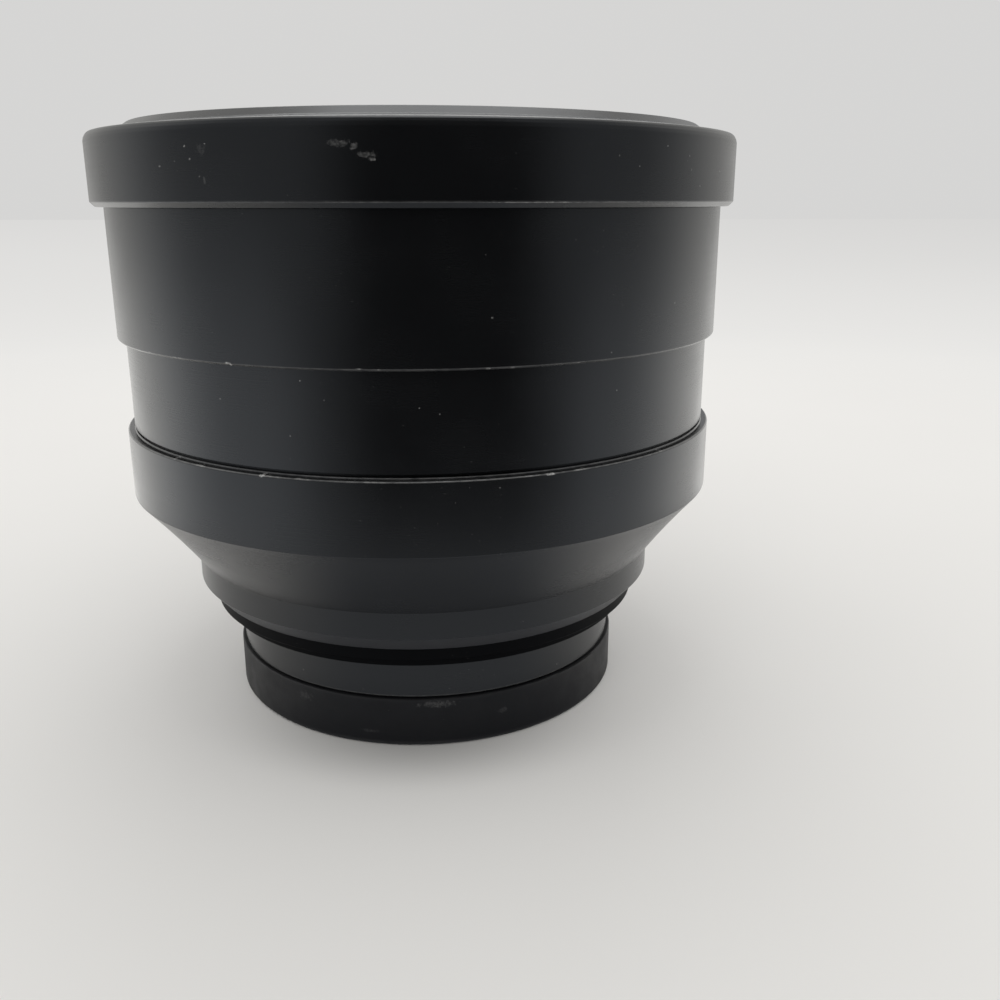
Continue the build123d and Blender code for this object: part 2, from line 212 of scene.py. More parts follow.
FRONT_RING = [
    (43.95, RING_FOOT),
    (46.45, RING_FOOT),
    (47.1, 75.9),
    (47.1, 83.8),
    (46.98, 84.25),
    (46.75, 84.64),
    (46.5, 84.87),
    (42.8, 85.36),
    (41.4, LIP_TOP),
    (38.9, LIP_TOP),
    (38.5, 85.9),
    (38.5, 82.5),
    (39.2, 82.5),
    (39.2, BARREL_TOP),
    (43.95, BARREL_TOP),
]
FRONT_CROWN = 82.2
FRONT_CURVE = 120.0
FRONT_RADIUS = 39.05
HOLLOW_CURVE = 52.0
HOLLOW_RADIUS = 30.5
HOLLOW_DEPTH = sag(HOLLOW_CURVE, HOLLOW_RADIUS)
FRONT_GLASS = [
    *ground(HOLLOW_CURVE, GLASS_SEAT + HOLLOW_DEPTH, 0, HOLLOW_RADIUS),
    (FRONT_RADIUS, GLASS_SEAT),
    *ground(FRONT_CURVE, FRONT_CROWN, FRONT_RADIUS, 0),
]
SECOND_RADIUS = 31.0
SECOND_REAR_CURVE = 85.0
SECOND_REAR_RADIUS = 27.0
SECOND_REAR_DEPTH = sag(SECOND_REAR_CURVE, SECOND_REAR_RADIUS)
SECOND_FRONT_CURVE = 220.0
SECOND_FRONT_RADIUS = 28.5
SECOND_FRONT_DEPTH = sag(SECOND_FRONT_CURVE, SECOND_FRONT_RADIUS)
SECOND_GLASS = [
    *ground(SECOND_REAR_CURVE, SECOND_FOOT + SECOND_REAR_DEPTH, 0, SECOND_REAR_RADIUS),
    (SECOND_RADIUS, SECOND_FOOT),
    (SECOND_RADIUS, SECOND_TOP),
    *ground(-SECOND_FRONT_CURVE, SECOND_TOP - SECOND_FRONT_DEPTH, SECOND_FRONT_RADIUS, 0),
]
DOUBLET_RADIUS = 23.55
FLINT_RIM = 20.25
CEMENT_GAP = 0.02
CEMENT_CURVE = 48.0
CEMENT_DEPTH = sag(CEMENT_CURVE, DOUBLET_RADIUS)
CROWN_CURVE = 65.0
CROWN_HEIGHT = sag(CROWN_CURVE, DOUBLET_RADIUS)
REAR_FLINT = [
    (0, DOUBLET_SEAT),
    (DOUBLET_RADIUS, DOUBLET_SEAT),
    *ground(-CEMENT_CURVE, FLINT_RIM - CEMENT_DEPTH, DOUBLET_RADIUS, 0),
]
REAR_CROWN = [
    *ground(-CEMENT_CURVE, FLINT_RIM + CEMENT_GAP - CEMENT_DEPTH, 0, DOUBLET_RADIUS),
    *ground(CROWN_CURVE, CROWN_RIM + CROWN_HEIGHT, DOUBLET_RADIUS, 0),
]
SECOND_CELL = [
    (32.55, STACK_FOOT),
    (40.4, STACK_FOOT),
    (40.4, 51.97),
    (38.9, 51.97),
    (38.9, 60.67),
    (40.4, 60.67),
    (40.4, SPACER_FOOT),
    (33.0, SPACER_FOOT),
    (29.55, SECOND_TOP),
    (31.05, SECOND_TOP),
    (31.05, SECOND_FOOT),
    (32.55, SECOND_FOOT),
]
REAR_CELL = [
    (23.3, 11.25),
    (25.7, 11.25),
    (25.7, 18.95),
    (29.5, 18.95),
    (29.5, CELL_SEAT),
    (33.2, CELL_SEAT),
    (33.2, 26.25),
    (28.05, 26.25),
    (28.05, 27.95),
    (25.1, 27.95),
    (25.1, CROWN_RIM),
    (23.6, CROWN_RIM),
    (23.6, DOUBLET_SEAT),
    (22.1, DOUBLET_SEAT),
]


def baffle_outline():
    """A cone outside and a staircase of sharp steps inside."""
    foot = 28.25
    flange = 46.47
    flange_radius = 40.4
    inner = 26.85
    outer = 28.45
    end = 36.5
    steps = 7
    rise = (STACK_FOOT - foot) / steps
    run = rise * (end - outer) / (flange - foot)
    stairs = []
    for step in range(steps):
        stairs.append((inner + step * run, foot + step * rise))
        stairs.append((inner + step * run, foot + (step + 1) * rise))
    return [
        (outer, foot),
        (end, flange),
        (flange_radius, flange),
        (flange_radius, STACK_FOOT),
        *reversed(stairs),
    ]


def ring_outline(inner, outer, low, high):
    return [(inner, low), (outer, low), (outer, high), (inner, high)]


SPACER = ring_outline(33.5, 40.4, SPACER_FOOT, WEB_FOOT)
SEAL = ring_outline(33.5, 39.0, WEB_TOP, GLASS_SEAT)


# Making the pieces


def make_piece(form, name, finishes, body="lens", edge=0.08, sharp=12.0):
    """Shade a finished form, round its edges a little and put it on its body."""
    for face in form.faces:
        face.smooth = True
    for rim in form.edges:
        rim.smooth = rim.calc_face_angle(0.0) < radians(sharp)
    mesh = bpy.data.meshes.new(name)
    form.to_mesh(mesh)
    form.free()
    for finish in finishes:
        mesh.materials.append(finish)
    piece = bpy.data.objects.new(name, mesh)
    scene.collection.objects.link(piece)
    if edge:
        rounding = piece.modifiers.new("rounding", "BEVEL")
        rounding.width = edge * MM
        rounding.segments = 2
        rounding.limit_method = "ANGLE"
        rounding.angle_limit = radians(sharp)
        rounding.harden_normals = True
    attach(piece, body)
    return piece


def spin_outline(outline):
    """Turn an outline about the optical axis. One that starts and ends on it stays open there."""
    form = bmesh.new()
    corners = [form.verts.new((radius * MM, 0, height * MM)) for radius, height in outline]
    sides = [form.edges.new(pair) for pair in zip(corners, corners[1:])]
    if outline[0][0] or outline[-1][0]:
        sides.append(form.edges.new((corners[-1], corners[0])))
    bmesh.ops.spin(
        form,
        geom=corners + sides,
        cent=(0, 0, 0),
        axis=(0, 0, 1),
        angle=tau,
        steps=STEPS_AROUND,
        use_merge=True,
    )
    bmesh.ops.remove_doubles(form, verts=form.verts, dist=SAME_PLACE)
    bmesh.ops.recalc_face_normals(form, faces=form.faces)
    return form


def turned(name, node, outline, finish, body="lens", edge=0.08):
    piece = make_piece(spin_outline(outline), name, [finish], body, edge)
    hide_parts(node)


def ground_glass(name, node, outline, finish, rim_finish):
    """A turned glass whose cylinder and flat rims are ground and blackened."""
    steep_below = 0.3
    rims_beyond = 20 * MM
    form = spin_outline(outline)
    for face in form.faces:
        radii = [hypot(vert.co.x, vert.co.y) for vert in face.verts]
        heights = [vert.co.z for vert in face.verts]
        steep = abs(face.normal.z) < steep_below
        flat_rim = max(heights) - min(heights) < SAME_PLACE and min(radii) > rims_beyond
        face.material_index = 1 if steep or flat_rim else 0
    piece = make_piece(form, name, [finish, rim_finish], edge=0.12)
    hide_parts(node)


def merged_copy(name, node, finish, edge=0.06):
    """A node's own mesh, merged and with its edges rounded."""
    weld = 2e-6
    form = bmesh.new()
    form.from_mesh(frame["nodes"][node].data)
    bmesh.ops.remove_doubles(form, verts=form.verts, dist=weld)
    piece = make_piece(form, name, [finish], edge=edge, sharp=20.0)
    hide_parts(node)


def thread_ridge(name, root, crest, low, high, finish, pitch=0.75, around=128):
    """The helical ridge of a screw thread, which runs out into the wall at both ends."""
    half = 0.44 * pitch
    half_crest = 0.12 * half
    middle = low + half
    laps = (high - low) / pitch - 1
    steps = int(laps * around)
    form = bmesh.new()
    section = [
        form.verts.new((radius * MM, 0, (middle + offset) * MM))
        for radius, offset in (
            (root, -half),
            (crest, -half_crest),
            (crest, half_crest),
            (root, half),
        )
    ]
    first = form.faces.new(section)
    made = bmesh.ops.spin(
        form,
        geom=list(first.edges),
        cent=(0, 0, 0),
        axis=(0, 0, 1),
        dvec=(0, 0, pitch * MM / around),
        angle=tau * steps / around,
        steps=steps,
    )
    last = [item for item in made["geom_last"] if isinstance(item, bmesh.types.BMEdge)]
    bmesh.ops.contextual_create(form, geom=last)
    run_out = 0.12
    least_fade = 0.03
    for vert in form.verts:
        share = (atan2(vert.co.y, vert.co.x) / tau) % 1.0
        lap = round((vert.co.z / MM - middle) / pitch - share)
        along = (lap + share) * around / steps
        fade = max(least_fade, min(1.0, along / run_out, (1 - along) / run_out))
        radius = hypot(vert.co.x, vert.co.y)
        wanted = root * MM + (radius - root * MM) * fade
        vert.co.x *= wanted / radius
        vert.co.y *= wanted / radius
    bmesh.ops.recalc_face_normals(form, faces=form.faces)
    make_piece(form, name, [finish], edge=0)


# Finishes


# the pale tone of bare metal where it is worn, also used for the painted highlight along the front
# ring's lip
WEAR_AND_HIGHLIGHT_TONE = (0.3, 0.297, 0.29)


class Finish:
    """The nodes of one finish, laid out on the lens's own axis."""

    def __init__(self, name):
        self.material = bpy.data.materials.new(name)
        self.material.use_nodes = True
        self.tree = self.material.node_tree
        self.tree.nodes.clear()
        self.place = self.node("ShaderNodeTexCoord").outputs["Object"]
        split = self.node("ShaderNodeSeparateXYZ", Vector=self.place)
        across, deep, self.height = split.outputs
        flat = self.node("ShaderNodeCombineXYZ", X=across, Y=deep, Z=0.0).outputs[0]
        self.radius = self.vector("LENGTH", flat)
        self.outward = self.vector("NORMALIZE", flat)
        self.bearing = self.calc("ARCTAN2", across, self.calc("MULTIPLY", deep, -1.0))

    def node(self, kind, settings=None, **inputs):
        made = self.tree.nodes.new(kind)
        for key, value in (settings or {}).items():
            setattr(made, key, value)
        for key, value in inputs.items():
            self.feed(made.inputs[key.replace("_", " ")], value)
        return made

    def feed(self, socket, value):
        if isinstance(value, bpy.types.NodeSocket):
            self.tree.links.new(value, socket)
        else:
            socket.default_value = value

    def calc(self, operation, *values):
        made = self.node("ShaderNodeMath", {"operation": operation})
        for socket, value in zip(made.inputs, values):
            self.feed(socket, value)
        return made.outputs[0]

    def vector(self, operation, *values):
        made = self.node("ShaderNodeVectorMath", {"operation": operation})
        for socket, value in zip(made.inputs, values):
            self.feed(socket, value)
        single = operation in ("LENGTH", "DISTANCE", "DOT_PRODUCT")
        return made.outputs["Value" if single else "Vector"]

    def rise(self, value, low, high, start=0.0, end=1.0):
        """Go smoothly from start to end as a value passes from low to high."""
        made = self.node("ShaderNodeMapRange", {"interpolation_type": "SMOOTHSTEP"})
        for socket, amount in zip(made.inputs, (value, low, high, start, end)):
            self.feed(socket, amount)
        return made.outputs[0]

    def noise(self, scale, detail=2.0, rough=0.5):
        made = self.node(
            "ShaderNodeTexNoise",
            Vector=self.place,
            Scale=scale,
            Detail=detail,
            Roughness=rough,
        )
        return made.outputs[0]

    def turning(self, pitch, drift=0.4):
        """Fine rings left by the lathe: they change over radius and height, hardly around."""
        around = self.vector("SCALE", self.outward)
        around.node.inputs["Scale"].default_value = drift * MM
        place = self.vector(
            "ADD", around, self.node("ShaderNodeCombineXYZ", Z=self.height).outputs[0]
        )
        made = self.node(
            "ShaderNodeTexNoise",
            {"noise_dimensions": "4D"},
            Vector=place,
            W=self.radius,
            Scale=1 / (pitch * MM),
            Detail=2.0,
            Roughness=0.6,
        )
        return made.outputs[0]

    def specks(self, cell, size, share):
        """Single grains of dust, as a part of the cells of a scattered pattern."""
        made = self.node(
            "ShaderNodeTexVoronoi", Vector=self.place, Scale=1 / (cell * MM)
        )
        chosen = self.calc("GREATER_THAN", made.outputs["Color"], 1 - share)
        grain = self.rise(made.outputs["Distance"], size / cell, 0.4 * size / cell)
        return self.calc("MULTIPLY", chosen, grain)

    def rims(self, edges, width):
        """How much a turned edge lightens a point: wear, and on the front ring's lip corner a painted
        highlight as well. Edges are (radius, height, strength).
        """
        total = 0.0
        for radius, height, strength in edges:
            aside = self.calc("ABSOLUTE", self.calc("SUBTRACT", self.radius, radius * MM))
            above = self.calc("ABSOLUTE", self.calc("SUBTRACT", self.height, height * MM))
            away = self.calc("ADD", aside, above)
            total = self.calc("MAXIMUM", total, self.rise(away, width * MM, 0.0, 0.0, strength))
        return total

    def marks(self, around_radius, spots):
        """Scuffs and nicks, each an ellipse of (degrees round from the photographed side,
        height, half width, half height, strength) with a ragged edge."""
        ragged = self.rise(self.noise(1900, 3.0, 0.7), 0.2, 0.8, -0.55, 0.55)
        arc = self.calc("MULTIPLY", self.bearing, around_radius)
        spread = self.node(
            "ShaderNodeCombineXYZ", X=arc, Y=self.calc("DIVIDE", self.height, MM), Z=0.0
        ).outputs[0]
        total = 0.0
        for bearing, height, wide, tall, strength in spots:
            middle = radians(bearing) * around_radius
            local = self.vector(
                "MULTIPLY_ADD",
                spread,
                (1 / wide, 1 / tall, 0.0),
                (-middle / wide, -height / tall, 0.0),
            )
            away = self.calc("ADD", self.vector("LENGTH", local), ragged)
            patch = self.rise(away, 1.0, 0.45, 0.0, strength)
            total = self.calc("MAXIMUM", total, patch)
        grain = self.rise(self.noise(3400, 3.0, 0.75), 0.42, 0.62, 0.3, 1.0)
        return self.calc("MULTIPLY", total, grain)

    def blend(self, share, colour, other):
        made = self.node("ShaderNodeMix", {"data_type": "RGBA"})
        self.feed(made.inputs[0], share)
        for socket, value in zip(made.inputs[6:8], (colour, other)):
            self.feed(socket, (*value, 1.0) if isinstance(value, tuple) else value)
        return made.outputs[2]

    def bump(self, height, depth, normal=None):
        inputs = {"Height": height, "Strength": 1.0, "Distance": depth * MM}
        if normal:
            inputs["Normal"] = normal
        return self.node("ShaderNodeBump", **inputs).outputs[0]

    def close(self, **inputs):
        """Put the surface on the material."""
        shader = self.tree.nodes.new("ShaderNodeBsdfPrincipled")
        for key, value in inputs.items():
            name = key.replace("_", " ")
            if isinstance(value, tuple) and len(value) == 3:
                value = (*value, 1.0)
            self.feed(shader.inputs[name], value)
        out = self.tree.nodes.new("ShaderNodeOutputMaterial")
        self.tree.links.new(shader.outputs[0], out.inputs["Surface"])
        return self.material


def black_anodised(
    name, edges=(), spots=(), around_radius=45.0, gloss=0.26, level=0.5, matt=None, lightened=None
):
    """Finely turned, black anodised metal with dust, edge wear and a few scuffs. Edges are lightened
    by wear, and along the front ring's lip by a painted highlight too. A piece may have one matt band
    between two heights, rougher and with a lighter tone that is painted light, and one face between
    two radii that is lightened by wear and by a painted highlight."""
    finish = Finish(name)
    rings = finish.turning(0.22)
    broad = finish.noise(95, 3.0)
    tone = finish.blend(broad, (0.0018, 0.0019, 0.0024), (0.0034, 0.0035, 0.004))
    dust = finish.specks(2.2, 0.085, 0.45)
    gathered = finish.rise(finish.noise(70, 2.0), 0.5, 0.62, 0.15, 1.0)
    fine_dust = finish.calc("MULTIPLY", finish.specks(0.8, 0.07, 0.5), gathered)
    dust = finish.calc("MAXIMUM", dust, fine_dust)
    tone = finish.blend(finish.calc("MULTIPLY", dust, 0.36), tone, (0.16, 0.155, 0.15))
    rough = finish.rise(broad, 0.3, 0.7, gloss - 0.02, gloss + 0.02)
    rough = finish.calc("ADD", rough, finish.rise(rings, 0.3, 0.7, -0.008, 0.008))
    if edges or lightened:
        streaks = finish.rise(finish.noise(900, 4.0, 0.65), 0.3, 0.65, 0.4, 1.0)
    if edges:
        # edge wear, which on the front ring's lip corner is also a painted highlight
        worn_and_highlit = finish.calc("MULTIPLY", finish.rims(edges, 0.24), streaks)
        tone = finish.blend(worn_and_highlit, tone, WEAR_AND_HIGHLIGHT_TONE)
    if matt:
        # the band's lighter tone is painted light that evens its shading with the wall above it; its
        # added roughness is a real finish
        low, high = matt
        band = finish.rise(finish.height, low * MM, (low + 0.1) * MM)
        above = finish.rise(finish.height, high * MM, (high - 0.1) * MM)
        band = finish.calc("MULTIPLY", band, above)
        tone = finish.blend(band, tone, (0.028, 0.0285, 0.031))
        rough = finish.calc("ADD", rough, finish.calc("MULTIPLY", band, 0.26))
    if lightened:
        # a face lightened by wear and by a painted highlight, on the front ring's lip inside its
        # corner
        inner, outer, foot = lightened
        face = finish.rise(finish.radius, inner * MM, outer * MM)
        above = finish.rise(finish.height, foot * MM, (foot + 0.05) * MM)
        face = finish.calc("MULTIPLY", finish.calc("MULTIPLY", face, above), streaks)
        tone = finish.blend(finish.calc("MULTIPLY", face, 0.75), tone, WEAR_AND_HIGHLIGHT_TONE)
    if spots:
        scuffs = finish.marks(around_radius, spots)
        tone = finish.blend(scuffs, tone, (0.42, 0.415, 0.405))
        rough = finish.calc("ADD", rough, finish.calc("MULTIPLY", scuffs, 0.2))
    surface = finish.bump(rings, 0.0006)
    surface = finish.bump(finish.noise(5200, 2.0, 0.7), 0.0016, surface)
    return finish.close(
        Base_Color=tone,
        Roughness=rough,
        IOR=1.6,
        Specular_IOR_Level=level,
        Specular_Tint=(0.95, 0.975, 1.0),
        Normal=surface,
    )


def cap_plastic():
    """Moulded matt plastic with a fine grain and pale rubbing marks."""
    finish = Finish("scuffed_cap_plastic")
    cloud = finish.noise(120, 4.0, 0.6)
    tone = finish.blend(cloud, (0.0032, 0.0033, 0.0046), (0.0062, 0.0062, 0.0076))
    foot_edges = [(31.05, 0.4, 1.0), (30.5, 0.0, 1.0), (31.05, 7.5, 0.25)]
    lightened = finish.calc("MULTIPLY", finish.rims(foot_edges, 0.6), cloud)
    tone = finish.blend(finish.calc("MULTIPLY", lightened, 0.35), tone, (0.09, 0.088, 0.086))
    smudges = finish.marks(
        31.05,
        [
            (-32.0, 5.8, 1.5, 0.8, 0.05),
            (6.4, 6.7, 3.2, 0.55, 0.09),
            (-12.0, 2.2, 1.6, 0.3, 0.04),
            (24.0, 4.4, 0.9, 0.5, 0.04),
            (101.0, 4.0, 2.6, 0.5, 0.06),
            (-140.0, 3.2, 1.8, 0.9, 0.05),
            (170.0, 5.2, 2.9, 0.3, 0.06),
        ],
    )
    tone = finish.blend(smudges, tone, (0.5, 0.49, 0.48))
    dust = finish.calc("MULTIPLY", finish.specks(1.7, 0.07, 0.4), 0.2)
    tone = finish.blend(dust, tone, (0.2, 0.2, 0.19))
    rough = finish.rise(finish.noise(260, 3.0), 0.3, 0.7, 0.46, 0.6)
    surface = finish.bump(finish.noise(4200, 3.0, 0.65), 0.012)
    return finish.close(Base_Color=tone, Roughness=rough, IOR=1.43, Normal=surface)


def inner_black(name="dull_inner_black", pitch=0.35, depth=0.05):
    """Blackened metal, cut with fine dull grooves that stop stray light."""
    finish = Finish(name)
    rings = finish.turning(pitch, 0.1)
    cloud = finish.noise(160, 3.0)
    tone = finish.blend(cloud, (0.0045, 0.0045, 0.005), (0.008, 0.008, 0.0085))
    dust = finish.calc("MULTIPLY", finish.specks(2.0, 0.08, 0.3), 0.25)
    tone = finish.blend(dust, tone, (0.18, 0.175, 0.17))
    rough = finish.rise(cloud, 0.3, 0.7, 0.5, 0.62)
    surface = finish.bump(rings, depth)
    return finish.close(Base_Color=tone, Roughness=rough, IOR=1.45, Normal=surface)


def bare_metal(name, colour, tarnish, gloss):
    """Bare turned metal, a little tarnished in clouds."""
    finish = Finish(name)
    cloud = finish.rise(finish.noise(230, 4.0, 0.6), 0.35, 0.75)
    tone = finish.blend(cloud, colour, tarnish)
    rings = finish.turning(0.12)
    rough = finish.rise(rings, 0.3, 0.7, gloss - 0.06, gloss + 0.08)
    surface = finish.bump(rings, 0.004)
    return finish.close(Base_Color=tone, Metallic=1.0, Roughness=rough, Normal=surface)


def seal_rubber():
    finish = Finish("dull_seal_rubber")
    grain = finish.noise(2600, 3.0, 0.7)
    tone = finish.blend(grain, (0.008, 0.008, 0.008), (0.02, 0.02, 0.019))
    rough = finish.rise(grain, 0.3, 0.7, 0.7, 0.85)
    return finish.close(
        Base_Color=tone, Roughness=rough, IOR=1.45, Normal=finish.bump(grain, 0.02)
    )


def coated_glass(name, tint, body):
    """Polished glass whose coating colours its reflections, with a breath of dust."""
    finish = Finish(name)
    dust = finish.specks(3.1, 0.07, 0.25)
    film = finish.noise(70, 3.0)
    rough = finish.calc(
        "ADD", finish.rise(film, 0.45, 0.8, 0.0, 0.02), finish.calc("MULTIPLY", dust, 0.4)
    )
    clear = finish.calc("SUBTRACT", 1.0, finish.calc("MULTIPLY", dust, 0.35))
    return finish.close(
        Base_Color=body,
        Roughness=rough,
        IOR=1.52,
        Transmission_Weight=clear,
        Specular_Tint=tint,
    )


def ground_edge():
    """Ground glass painted black."""
    finish = Finish("blackened_ground_edge")
    grain = finish.noise(3200, 2.0, 0.7)
    tone = finish.blend(grain, (0.004, 0.004, 0.004), (0.011, 0.011, 0.011))
    rough = finish.rise(grain, 0.3, 0.7, 0.6, 0.75)
    return finish.close(
        Base_Color=tone, Roughness=rough, Normal=finish.bump(grain, 0.008)
    )


# Scuffs and nicks on each turned piece: (degrees round from the photographed side, height,
# half width, half height, strength). Those past about 90 degrees are on the side that the
# photograph doesn't show, and are made up.
BAND_SPOTS = [
    (-6.0, 82.0, 1.5, 0.45, 0.11),
    (-4.0, 81.75, 0.5, 0.4, 0.2),
    (-2.3, 80.8, 1.2, 0.42, 0.14),
    (-1.6, 80.35, 0.4, 0.2, 0.3),
    (-29.4, 82.0, 0.14, 0.12, 0.45),
    (-25.7, 82.2, 0.12, 0.1, 0.4),
    (-26.5, 81.6, 0.7, 0.7, 0.05),
    (-28.6, 80.6, 0.14, 0.12, 0.45),
    (-27.1, 78.7, 0.12, 0.12, 0.4),
    (-26.2, 78.3, 0.2, 0.5, 0.08),
    (-31.6, 80.4, 0.14, 0.1, 0.4),
    (-34.8, 79.9, 0.16, 0.12, 0.4),
    (43.6, 82.3, 0.16, 0.12, 0.4),
    (49.4, 81.3, 0.14, 0.12, 0.4),
    (50.2, 79.7, 0.12, 0.3, 0.35),
    (61.0, 79.7, 0.18, 0.12, 0.4),
    (37.7, 79.9, 0.12, 0.1, 0.35),
    (53.1, 77.8, 0.14, 0.12, 0.35),
    (33.8, 81.0, 0.12, 0.1, 0.3),
    (21.0, 75.88, 6.6, 0.06, 0.42),
    (34.0, 75.9, 5.0, 0.06, 0.2),
    (44.0, 75.6, 5.5, 0.2, 0.12),
    (-4.0, 75.9, 3.6, 0.05, 0.1),
    (112.0, 80.4, 1.6, 0.3, 0.18),
    (171.0, 78.2, 0.9, 0.5, 0.2),
    (-118.0, 82.4, 1.2, 0.2, 0.22),
]
BARREL_SPOTS = [
    (14.8, 63.1, 0.14, 0.12, 0.4),
    (50.8, 63.3, 0.16, 0.14, 0.4),
    (35.3, 58.1, 0.14, 0.12, 0.35),
    (-46.0, 57.35, 0.6, 0.1, 0.35),
    (-38.0, 57.3, 1.8, 0.1, 0.45),
    (-26.6, 57.36, 0.4, 0.18, 1.0),
    (-26.1, 57.2, 0.25, 0.14, 1.0),
    (-4.9, 57.4, 0.4, 0.1, 0.45),
    (-4.6, 57.02, 0.6, 0.08, 0.35),
    (-2.0, 57.3, 0.2, 0.08, 0.4),
    (14.2, 57.25, 0.3, 0.1, 0.6),
    (17.9, 57.25, 0.3, 0.12, 0.4),
    (29.0, 57.25, 0.4, 0.1, 0.35),
    (6.9, 51.8, 0.12, 0.12, 0.3),
    (38.1, 53.0, 0.14, 0.12, 0.4),
    (-17.0, 48.8, 0.12, 0.1, 0.4),
    (-30.1, 52.6, 0.12, 0.12, 0.4),
    (-14.8, 55.6, 0.12, 0.1, 0.4),
    (-11.0, 53.4, 0.1, 0.1, 0.3),
    (3.8, 52.6, 0.12, 0.1, 0.5),
    (24.0, 47.3, 0.1, 0.1, 0.3),
    (128.0, 66.0, 1.4, 0.25, 0.2),
    (-157.0, 70.1, 0.5, 0.8, 0.2),
]
HOUSING_SPOTS = [
    (-41.8, 43.8, 0.3, 0.12, 0.5),
    (-34.7, 43.74, 1.0, 0.08, 0.45),
    (-21.8, 43.74, 0.5, 0.2, 1.0),
    (-20.0, 43.74, 2.0, 0.08, 0.35),
    (-15.1, 43.74, 1.2, 0.08, 0.35),
    (-3.7, 43.74, 1.5, 0.06, 0.3),
    (6.7, 43.74, 1.6, 0.06, 0.25),
    (24.6, 43.66, 0.9, 0.14, 1.0),
    (21.0, 43.72, 1.4, 0.07, 0.4),
    (30.0, 43.72, 1.4, 0.09, 0.4),
    (49.1, 43.8, 0.5, 0.14, 0.3),
    (-5.7, 38.9, 0.12, 0.1, 0.3),
    (12.7, 36.0, 0.12, 0.1, 0.3),
    (16.0, 42.6, 0.12, 0.1, 0.4),
    (139.0, 40.6, 1.0, 0.22, 0.2),
    (-98.0, 38.4, 0.6, 0.4, 0.18),
]
MOUNT_SPOTS = [
    (-33.1, 9.6, 0.12, 0.12, 0.35),
    (9.7, 8.8, 0.12, 0.1, 0.3),
    (43.5, 8.8, 0.14, 0.12, 0.35),
    (150.0, 11.6, 1.1, 0.15, 0.25),
]

# The lip corner's edge and the face lightened inside it are partly wear, partly a painted highlight
# along the lip's outer edge.
ring_edges = [(46.45, 84.88, 1.0), (47.1, 75.9, 0.12), (41.4, LIP_TOP, 0.15)]
ring_black = black_anodised(
    "black_anodised_front_ring", ring_edges, BAND_SPOTS, 47.1, lightened=(44.9, 46.1, 84.8)
)
barrel_edges = [(45.3, 57.28, 0.22), (45.15, 57.1, 0.15)]
barrel_black = black_anodised("black_anodised_barrel", barrel_edges, BARREL_SPOTS, 45.0)
housing_edges = [(45.1, 43.72, 0.4), (44.2, 43.96, 0.25)]
housing_black = black_anodised(
    "black_anodised_housing", housing_edges, HOUSING_SPOTS, 45.0, matt=(NECK_FOOT, CHAMFER_TOP)
)
mount_edges = [(30.5, 7.8, 0.12), (29.0, 3.0, 0.3)]
mount_black = black_anodised("glossy_mount_metal", mount_edges, MOUNT_SPOTS, 30.5, gloss=0.25)
cover_black = black_anodised("dull_cover_metal", gloss=0.5, level=0.04)
cap_black = cap_plastic()
dull_black = inner_black()
baffle_black = inner_black("matt_baffle_black", 0.5, 0.09)
shim_brass = bare_metal("tarnished_brass", (0.62, 0.5, 0.3), (0.34, 0.25, 0.13), 0.3)
screw_metal = bare_metal("bare_screw_steel", (0.45, 0.45, 0.47), (0.3, 0.3, 0.31), 0.28)
rubber_black = seal_rubber()
front_coat = coated_glass("green_coated_glass", (0.35, 0.72, 0.5), (0.93, 0.97, 0.94))
inner_coat = coated_glass("violet_coated_glass", (0.62, 0.4, 0.85), (0.95, 0.96, 0.96))
glass_rim = ground_edge()

# The pieces, from the cap up

turned("moulded_rear_cap", "rear_cap", CAP, cap_black, "cap", edge=0.12)
turned("turned_mount_ring", "mount_ring", MOUNT, mount_black, edge=0.05)
thread_ridge("camera_thread", 28.58, 29.0, 3.1, 6.8, mount_black)
turned("turned_cover_ring", "cover_ring", COVER, cover_black, edge=0.05)
turned("turned_rear_housing", "rear_housing", HOUSING, housing_black, edge=0.07)
turned("turned_joint_ring", "joint_ring", JOINT_RING, housing_black, edge=0.03)
turned("turned_barrel", "main_barrel", BARREL, barrel_black, edge=0.06)
turned("turned_front_ring", "front_ring", FRONT_RING, ring_black, edge=0.1)
thread_ridge("filter_thread", 38.52, 38.1, 82.55, 85.9, ring_black)

ground_glass("polished_front_glass", "front_element", FRONT_GLASS, front_coat, glass_rim)
ground_glass("polished_second_glass", "second_element", SECOND_GLASS, inner_coat, glass_rim)
ground_glass("polished_rear_flint", "rear_flint_element", REAR_FLINT, inner_coat, glass_rim)
ground_glass("polished_rear_crown", "rear_crown_element", REAR_CROWN, front_coat, glass_rim)

turned("turned_second_cell", "second_cell", SECOND_CELL, dull_black)
turned("turned_rear_cell", "rear_cell", REAR_CELL, dull_black)
turned("turned_light_baffle", "light_baffle", baffle_outline(), baffle_black, edge=0.03)
turned("turned_spacer", "spacer_ring", SPACER, dull_black)
turned("flat_front_seal", "front_seal", SEAL, rubber_black)
merged_copy("brass_cell_shim", "cell_shim", shim_brass, edge=0.03)
merged_copy("slotted_front_ring", "front_retaining_ring", dull_black)
merged_copy("slotted_second_ring", "second_retaining_ring", dull_black)
merged_copy("slotted_stack_ring", "stack_retaining_ring", dull_black)
merged_copy("slotted_rear_ring", "rear_retaining_ring", dull_black)
merged_copy("steel_cell_screws", "cell_screws", screw_metal, edge=0.12)
merged_copy("steel_set_screws", "mount_set_screws", screw_metal, edge=0.12)


# The table, the light and the camera


def lit_only(thing, **rays):
    """Let a thing of the studio be met by only some kinds of light ray."""
    for kind in ("camera", "diffuse", "glossy", "transmission", "volume_scatter", "shadow"):
        setattr(thing, "visible_" + kind, rays.get(kind, False))


